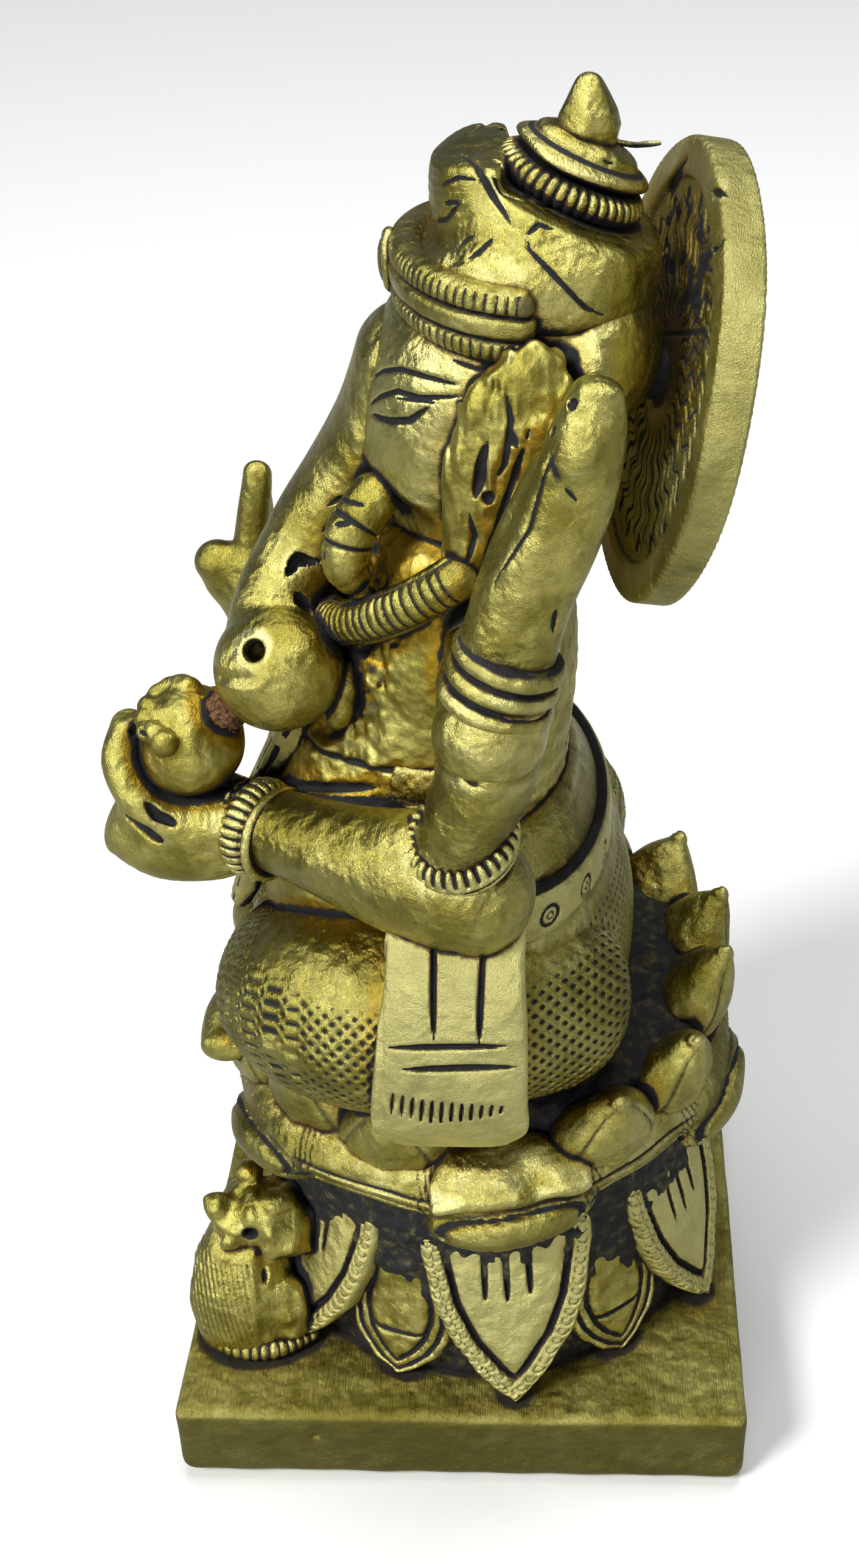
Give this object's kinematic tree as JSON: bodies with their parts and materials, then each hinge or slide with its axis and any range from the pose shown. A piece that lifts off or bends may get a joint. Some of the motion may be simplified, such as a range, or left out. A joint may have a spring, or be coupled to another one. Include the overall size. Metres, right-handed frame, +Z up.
{
  "type": "hindu deity statue",
  "caption": "Small cast brass statue of a seated elephant-headed deity holding sweets, on a petalled lotus over a square slab, with a mouse at its feet and a disc behind its head.",
  "frame": {"origin": "centre of the slab's flat underside", "axes": "+Z up; the figure faces -Y; +X is the figure's left side"},
  "size_m": [0.0528, 0.0517, 0.1144],
  "materials": {
    "cast_brass": "antique cast brass, brushed on high places, dark patina in grooves",
    "ornament_brass": "rubbed bright brass with dark engraved lines",
    "recess_patina": "brown and black patina left in the recesses",
    "braze": "rough reddish-brown joining metal"
  },
  "bodies": {
    "root": {"plinth": "cast_brass", "lotus_core": "recess_patina", "lower_petals": "cast_brass", "secondary_petals": "cast_brass", "middle_petals": "cast_brass", "upper_petals": "cast_brass", "mouse_body": "cast_brass", "mouse_head": "cast_brass", "mouse_tail": "cast_brass", "hips": "cast_brass", "left_leg": "cast_brass", "right_leg": "cast_brass", "left_foot": "cast_brass", "right_foot": "cast_brass", "left_sash": "ornament_brass", "right_sash": "ornament_brass", "front_sash": "ornament_brass", "waist_belt": "ornament_brass", "torso": "recess_patina", "back_wrap": "cast_brass", "necklace": "ornament_brass", "pendant": "ornament_brass", "front_left_arm": "cast_brass", "front_left_hand": "cast_brass", "front_left_bangles": "ornament_brass", "front_left_armlet": "ornament_brass", "front_right_arm": "cast_brass", "front_right_hand": "cast_brass", "front_right_bangles": "ornament_brass", "front_right_armlet": "ornament_brass", "rear_left_arm": "cast_brass", "rear_left_hand": "cast_brass", "rear_left_bangles": "ornament_brass", "rear_right_arm": "cast_brass", "rear_right_hand": "cast_brass", "rear_right_bangles": "ornament_brass", "sweets_bowl": "ornament_brass", "braze_spot": "braze", "head": "cast_brass", "trunk": "cast_brass", "left_tusk": "cast_brass", "right_tusk": "cast_brass", "left_ear": "cast_brass", "right_ear": "cast_brass", "headband": "ornament_brass", "headband_gem": "ornament_brass", "crown": "cast_brass", "crown_bead_ring": "ornament_brass", "crown_collar": "ornament_brass", "finial": "cast_brass", "halo_disc": "cast_brass", "halo_pin": "recess_patina"}
  },
  "joints": []
}
